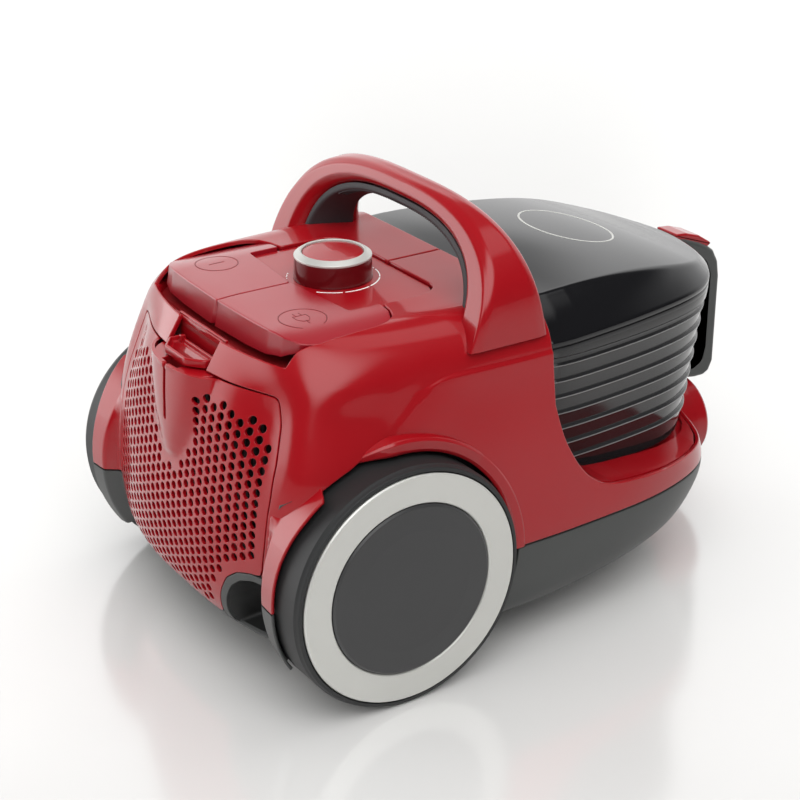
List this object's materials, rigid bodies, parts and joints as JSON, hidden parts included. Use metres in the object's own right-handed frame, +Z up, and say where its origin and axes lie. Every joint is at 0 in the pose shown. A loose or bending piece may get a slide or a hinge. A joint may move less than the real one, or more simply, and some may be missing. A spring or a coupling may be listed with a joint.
{
  "type": "canister vacuum cleaner",
  "caption": "Bagless canister vacuum cleaner with big rear wheels, arched carry handle, lift-out dust cup, pedals, knob and perforated exhaust cover.",
  "frame": {"origin": "on the floor, at the middle of the bounding box seen from above", "axes": "+Y towards the hose inlet and dust cup, +X to the machine's right, +Z up"},
  "size_m": [0.2974, 0.447, 0.2855],
  "materials": {
    "red_gloss": "gloss",
    "dark_plastic": "satin",
    "satin_silver": "satin",
    "black_part": "matt",
    "board": "matt",
    "soft_grip": "matt",
    "filter": "matt",
    "smoked_clear": "clear gloss",
    "black_gloss": "high gloss",
    "bright_metal": "satin",
    "tyre_rubber": "matt",
    "disc_grey": "satin"
  },
  "bodies": {
    "housing": {"base_chassis": "dark_plastic", "main_shell": "red_gloss", "cup_cradle": "red_gloss", "service_frame": "black_part", "control_tongue": "red_gloss", "speed_control": "black_part", "power_switch": "black_part", "control_board": "board", "handle_shell": "red_gloss", "handle_grip": "soft_grip", "exhaust_filter": "filter", "cord_outlet": "dark_plastic", "hose_collar": "red_gloss", "inlet_duct": "dark_plastic", "bay_filter": "soft_grip", "motor_case": "bright_metal", "motor_mount": "soft_grip", "reel_hub": "black_part", "axle_right": "bright_metal", "axle_left": "bright_metal"},
    "wheel_r": {"tyre_right": "tyre_rubber", "wheel_right": "dark_plastic", "ring_right": "satin_silver", "disc_right": "disc_grey"},
    "wheel_l": {"tyre_left": "tyre_rubber", "wheel_left": "dark_plastic", "ring_left": "satin_silver", "disc_left": "disc_grey"},
    "caster": {"caster_fork": "dark_plastic", "caster_pin": "bright_metal"},
    "caster_roller": {"caster_wheel": "tyre_rubber"},
    "knob": {"knob_skirt": "red_gloss", "knob_ring": "satin_silver", "knob_cap": "red_gloss"},
    "pedal_power": {"power_pedal": "red_gloss"},
    "pedal_rewind": {"rewind_pedal": "red_gloss"},
    "brake": {"reel_brake": "black_part"},
    "reel": {"reel_drum": "black_part"},
    "rotor": {"motor_rotor": "bright_metal"},
    "cover": {"rear_cover": "red_gloss"},
    "latch": {"cover_latch": "red_gloss"},
    "cup": {"dust_cup": "smoked_clear", "cup_rim": "smoked_clear", "cup_handle": "dark_plastic"},
    "button": {"cup_button": "red_gloss"},
    "lid": {"cup_lid": "black_gloss", "lid_seal": "soft_grip", "cyclone_cone": "black_part"}
  },
  "joints": [
    {"name": "wheel_right_spin", "type": "hinge", "parent": "housing", "child": "wheel_r", "pos_m": [0.128, -0.1355, 0.08], "axis": [1, 0, 0], "continuous": true},
    {"name": "wheel_left_spin", "type": "hinge", "parent": "housing", "child": "wheel_l", "pos_m": [-0.128, -0.1355, 0.08], "axis": [1, 0, 0], "continuous": true},
    {"name": "caster_swivel", "type": "hinge", "parent": "housing", "child": "caster", "pos_m": [0, 0.0725, 0.03], "axis": [0, 0, 1], "continuous": true},
    {"name": "caster_spin", "type": "hinge", "parent": "caster", "child": "caster_roller", "pos_m": [0, 0.0605, 0.0125], "axis": [1, 0, 0], "continuous": true},
    {"name": "knob_turn", "type": "hinge", "parent": "housing", "child": "knob", "pos_m": [0, -0.099, 0.24], "axis": [0, 0, 1], "range_deg": [-135, 135]},
    {"name": "power_pedal_press", "type": "hinge", "parent": "housing", "child": "pedal_power", "pos_m": [-0.072, -0.1055, 0.222], "axis": [1, 0, 0], "range_deg": [0, 4], "stiffness_Nm_per_rad": 4, "springref_deg": -4.58},
    {"name": "rewind_pedal_press", "type": "hinge", "parent": "housing", "child": "pedal_rewind", "pos_m": [0.072, -0.1055, 0.222], "axis": [1, 0, 0], "range_deg": [0, 4], "stiffness_Nm_per_rad": 4, "springref_deg": -4.58},
    {"name": "brake_rod_slide", "type": "slide", "parent": "housing", "child": "brake", "axis": [0, 0, -1], "range_m": [0, 0.0031]},
    {"name": "reel_spin", "type": "hinge", "parent": "housing", "child": "reel", "pos_m": [-0.012, -0.1025, 0.064], "axis": [0, 0, 1], "continuous": true},
    {"name": "motor_spin", "type": "hinge", "parent": "housing", "child": "rotor", "pos_m": [0, -0.0755, 0.148], "axis": [0, 1, 0], "continuous": true},
    {"name": "cover_open", "type": "hinge", "parent": "housing", "child": "cover", "pos_m": [0, -0.2155, 0.0418], "axis": [1, 0, 0], "range_deg": [0, 70]},
    {"name": "latch_press", "type": "slide", "parent": "housing", "child": "latch", "axis": [0, 1, 0], "range_m": [0, 0.003], "stiffness_N_per_m": 600, "springref_m": -0.004},
    {"name": "cup_lift", "type": "slide", "parent": "housing", "child": "cup", "axis": [0, 0, 1], "range_m": [0, 0.2]},
    {"name": "button_press", "type": "slide", "parent": "cup", "child": "button", "axis": [0, 0, -1], "range_m": [0, 0.002], "stiffness_N_per_m": 700, "springref_m": -0.003},
    {"name": "lid_lift", "type": "slide", "parent": "cup", "child": "lid", "axis": [0, 0, 1], "range_m": [0, 0.12]}
  ],
  "couplings": [
    {"joint": "brake_rod_slide", "follows": "rewind_pedal_press", "m_per_rad": 0.044}
  ]
}
